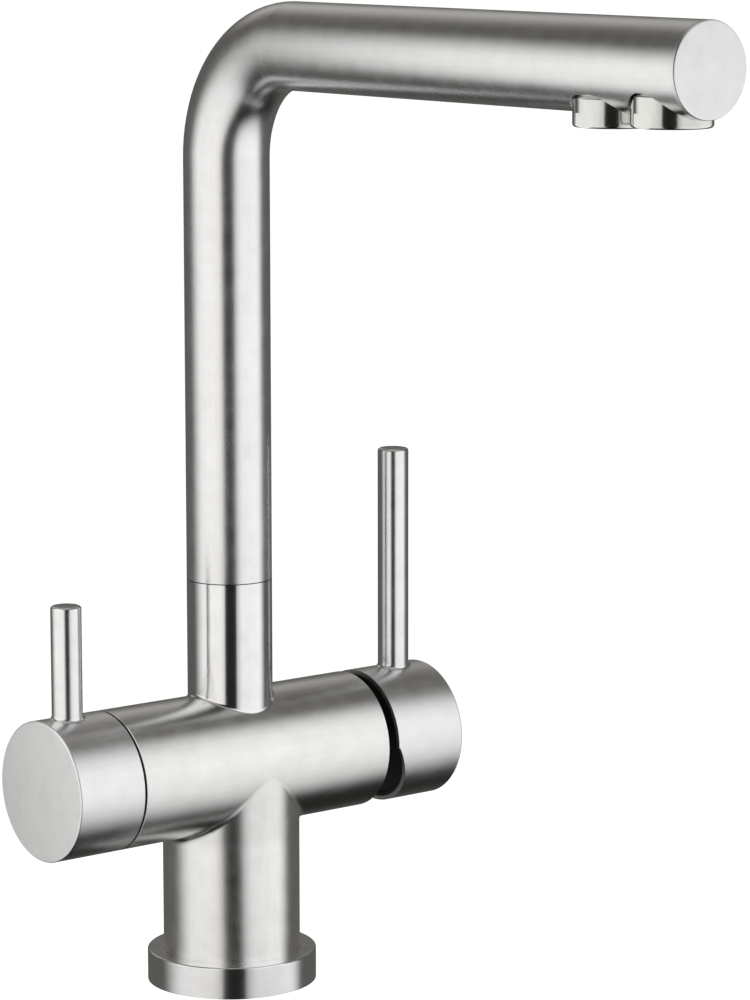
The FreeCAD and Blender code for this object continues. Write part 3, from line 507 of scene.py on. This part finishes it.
class TAP_OT_spout(bpy.types.Operator):
    """Finish the spout tube, its end piece and its end plate"""

    bl_idname = "tap.spout"
    bl_label = "Spout"

    def execute(self, context):
        finish = context.scene.tap_finish
        # Painted shade on the level part of the spout, coming in along its bend
        level_shade_span = (SPOUT_LEVEL - BEND_RADIUS, SPOUT_LEVEL, finish.level_painted_shade)
        paint(["spout_tube", "outlet_head"],
              steel_material("brushed_spout", finish.steel_colour, finish.spout_roughness,
                             finish.grain_depth, spout_grain, upper=level_shade_span))
        paint(["spout_end_plate"],
              steel_material("blasted_plate", finish.plate_colour, finish.plate_roughness,
                             finish.grain_depth, faint_clouds))
        return {"FINISHED"}


class TAP_OT_caps(bpy.types.Operator):
    """Finish the two caps, with their flat faces"""

    bl_idname = "tap.caps"
    bl_label = "Caps"

    def execute(self, context):
        finish = context.scene.tap_finish
        for name, face_x in (("filter_cap", FILTER_FACE), ("mixer_cap", MIXER_FACE)):
            # Each face has its own roughness, and a painted light that raises its colour
            face = (face_x, finish.face_roughness, finish.face_painted_light)
            paint([name], steel_material("brushed_" + name, finish.steel_colour, finish.cap_roughness,
                                         finish.grain_depth, level_grain, face=face))
        return {"FINISHED"}


class TAP_OT_levers(bpy.types.Operator):
    """Finish the two levers"""

    bl_idname = "tap.levers"
    bl_label = "Levers"

    def execute(self, context):
        finish = context.scene.tap_finish
        paint(["filter_lever", "mixer_lever"],
              steel_material("polished_lever", finish.steel_colour, finish.lever_roughness,
                             finish.grain_depth * POLISHED_RELIEF, upright_grain))
        return {"FINISHED"}


class TAP_OT_base_ring(bpy.types.Operator):
    """Finish the turned base ring"""

    bl_idname = "tap.base_ring"
    bl_label = "Base ring"

    def execute(self, context):
        finish = context.scene.tap_finish
        paint(["base_ring"], steel_material("turned_ring", finish.steel_colour, finish.ring_roughness,
                                            finish.grain_depth * RING_RELIEF, turned_grain))
        return {"FINISHED"}


class TAP_OT_collars(bpy.types.Operator):
    """Finish the two outlet collars"""

    bl_idname = "tap.collars"
    bl_label = "Outlet collars"

    def execute(self, context):
        finish = context.scene.tap_finish
        paint(["mixed_aerator_housing", "filtered_aerator_housing"],
              steel_material("chrome_collar", finish.collar_colour, finish.collar_roughness,
                             finish.grain_depth * COLLAR_RELIEF, faint_clouds))
        return {"FINISHED"}


class TAP_OT_stage(bpy.types.Operator):
    """Set up the camera, the floor and the studio light"""

    bl_idname = "tap.stage"
    bl_label = "Stage"

    def execute(self, context):
        studio = context.scene.tap_studio
        place_camera(context.scene)
        lay_floor()
        for name, panel in PANELS.items():
            hang_panel(name, panel, studio.panel_level)
        light_room(context.scene, studio)
        context.scene.view_settings.view_transform = "Standard"
        return {"FINISHED"}


def place_camera(scene):
    """Camera at the photograph's viewing angle."""
    data = bpy.data.cameras.new("camera")
    data.lens = CAMERA_LENS
    data.clip_end = CAMERA_REACH
    camera = bpy.data.objects.new("camera", data)
    forward = CAMERA_FORWARD.normalized()
    right = (CAMERA_RIGHT - forward * CAMERA_RIGHT.dot(forward)).normalized()
    up = right.cross(forward)
    turn = Matrix((right, up, -forward)).transposed()
    camera.matrix_world = Matrix.Translation(CAMERA_PLACE) @ turn.to_4x4()
    scene.collection.objects.link(camera)
    scene.camera = camera


def lay_floor():
    """Plain pale floor, left out of the metal's reflections."""
    mesh = bpy.data.meshes.new("floor")
    shape = bmesh.new()
    bmesh.ops.create_grid(shape, x_segments=1, y_segments=1, size=FLOOR_HALF)
    shape.to_mesh(mesh)
    shape.free()
    floor = bpy.data.objects.new("floor", mesh)
    bpy.context.scene.collection.objects.link(floor)
    material, tree, shader = new_material("pale_floor")
    shader.inputs["Base Color"].default_value = FLOOR_COLOUR
    shader.inputs["Roughness"].default_value = 1.0
    shader.inputs["Specular IOR Level"].default_value = 0.0
    shader.inputs["Emission Color"].default_value = FLOOR_GLOW_COLOUR
    shader.inputs["Emission Strength"].default_value = FLOOR_GLOW
    mesh.materials.append(material)
    floor.visible_glossy = False


def studio_point(aside, ahead):
    """Point on the floor plan, measured along the camera's own directions."""
    toward = -CAMERA_FORWARD.to_2d().normalized()
    right = CAMERA_RIGHT.to_2d().normalized()
    return (right * aside + toward * ahead).to_3d()


def hang_panel(name, panel, dimmer):
    """Upright light panel that faces the tap and fades towards its edges."""
    first = studio_point(*panel["ends"][0])
    second = studio_point(*panel["ends"][1])
    width = (second - first).length
    top = panel["top"][0]
    height = top - PANEL_LOW
    data = bpy.data.lights.new(name, "AREA")
    data.shape = "RECTANGLE"
    data.size = width
    data.size_y = height
    data.color = panel["tint"]
    data.energy = panel["level"] * dimmer * math.pi * width * height
    along = (second - first).normalized()
    up = Vector((0.0, 0.0, 1.0))
    turn = Matrix((along, up, along.cross(up))).transposed()
    place = (first + second) / 2 + up * (top + PANEL_LOW) / 2
    light = bpy.data.objects.new(name, data)
    light.matrix_world = Matrix.Translation(place) @ turn.to_4x4()
    light.visible_camera = False
    bpy.context.scene.collection.objects.link(light)
    fade_panel(data, panel, width, height)


def fade_panel(data, panel, width, height):
    """Let a panel's light come up softly from its edges."""
    data.use_nodes = True
    tree = data.node_tree
    place = tree.nodes.new("ShaderNodeSeparateXYZ")
    tree.links.new(tree.nodes.new("ShaderNodeNewGeometry").outputs["Parametric"], place.inputs[0])
    up = calculate(tree, "MULTIPLY", place.outputs[1], height)
    above = calculate(tree, "SUBTRACT", up, LEAN_LEVEL - PANEL_LOW)
    leaning = calculate(tree, "MULTIPLY", above, panel["lean"])
    over = calculate(tree, "ADD", calculate(tree, "MULTIPLY", place.outputs[0], width), leaning)
    low = smooth_step(tree, up, 0.0, PANEL_LOW_FADE)
    high = smooth_step(tree, up, height - panel["top"][1], height, 1.0, 0.0)
    first = smooth_step(tree, over, 0.0, panel["first"][1], panel["first"][0], 1.0)
    second = smooth_step(tree, over, width - panel["second"][1], width, 1.0, panel["second"][0])
    strength = calculate(tree, "MULTIPLY", calculate(tree, "MULTIPLY", low, high),
                         calculate(tree, "MULTIPLY", first, second))
    tree.links.new(strength, tree.nodes["Emission"].inputs["Strength"])


def light_room(scene, studio):
    """Dim room round the panels, lighter behind the tap and to its right, and a white backdrop."""
    world = bpy.data.worlds.new("studio")
    world.use_nodes = True
    scene.world = world
    tree = world.node_tree
    tree.nodes.clear()
    coordinates = tree.nodes.new("ShaderNodeTexCoord")
    split = tree.nodes.new("ShaderNodeSeparateXYZ")
    tree.links.new(coordinates.outputs["Generated"], split.inputs[0])
    away = CAMERA_FORWARD.to_2d().normalized()
    behind = calculate(tree, "ADD", calculate(tree, "MULTIPLY", split.outputs[0], away.x),
                       calculate(tree, "MULTIPLY", split.outputs[1], away.y))
    height = split.outputs[2]
    side = smooth_step(tree, behind, *SIDE_TURN, studio.front_level, studio.side_level)
    rightward = calculate(tree, "ADD", calculate(tree, "MULTIPLY", split.outputs[0], -away.y),
                          calculate(tree, "MULTIPLY", split.outputs[1], away.x))
    back = smooth_step(tree, behind, *BACK_TURN, 0.0, studio.back_level - studio.side_level)
    across = smooth_step(tree, rightward, *BACK_ACROSS, BACK_LEFT_LEVEL, BACK_RIGHT_LEVEL)
    back = calculate(tree, "MULTIPLY", back, across)
    back = calculate(tree, "MULTIPLY", back, smooth_step(tree, height, *BACK_RISE))
    ceiling = smooth_step(tree, height, *CEILING_RISE, 0.0, studio.ceiling_level)
    low = smooth_step(tree, height, *LOW_RISE, LOW_LEVEL, 1.0)
    level = calculate(tree, "MULTIPLY", calculate(tree, "ADD", side, back), low)
    room = tree.nodes.new("ShaderNodeBackground")
    room.inputs["Color"].default_value = ROOM_TINT
    tree.links.new(calculate(tree, "ADD", level, ceiling), room.inputs["Strength"])
    backdrop = tree.nodes.new("ShaderNodeBackground")
    backdrop.inputs["Strength"].default_value = studio.backdrop_level
    path = tree.nodes.new("ShaderNodeLightPath")
    mixer = tree.nodes.new("ShaderNodeMixShader")
    tree.links.new(path.outputs["Is Camera Ray"], mixer.inputs[0])
    tree.links.new(room.outputs[0], mixer.inputs[1])
    tree.links.new(backdrop.outputs[0], mixer.inputs[2])
    output = tree.nodes.new("ShaderNodeOutputWorld")
    tree.links.new(mixer.outputs[0], output.inputs["Surface"])


class TAP_PT_panel(bpy.types.Panel):
    """Sidebar panel that lists the tap's steps"""

    bl_idname = "TAP_PT_panel"
    bl_label = "Kitchen Mixer Tap"
    bl_space_type = "VIEW_3D"
    bl_region_type = "UI"
    bl_category = "Tap"

    def draw(self, context):
        layout = self.layout
        for group in (context.scene.tap_finish, context.scene.tap_studio):
            for name in group.bl_rna.properties.keys():
                if name not in ("rna_type", "name"):
                    layout.prop(group, name)
        for operator in OPERATORS:
            layout.operator(operator.bl_idname)


OPERATORS = (TAP_OT_fittings, TAP_OT_body, TAP_OT_neck, TAP_OT_spout, TAP_OT_caps, TAP_OT_levers,
             TAP_OT_base_ring, TAP_OT_collars, TAP_OT_stage)
CLASSES = (TapFinish, TapStudio) + OPERATORS + (TAP_PT_panel,)


def register():
    for item in CLASSES:
        bpy.utils.register_class(item)
    bpy.types.Scene.tap_finish = bpy.props.PointerProperty(type=TapFinish)
    bpy.types.Scene.tap_studio = bpy.props.PointerProperty(type=TapStudio)


def unregister():
    del bpy.types.Scene.tap_studio
    del bpy.types.Scene.tap_finish
    for item in reversed(CLASSES):
        bpy.utils.unregister_class(item)


def main():
    register()
    bpy.ops.tap.fittings()
    bpy.ops.tap.body()
    bpy.ops.tap.neck()
    bpy.ops.tap.spout()
    bpy.ops.tap.caps()
    bpy.ops.tap.levers()
    bpy.ops.tap.base_ring()
    bpy.ops.tap.collars()
    check_finishes()
    bpy.ops.tap.stage()


if __name__ == "__main__":
    main()
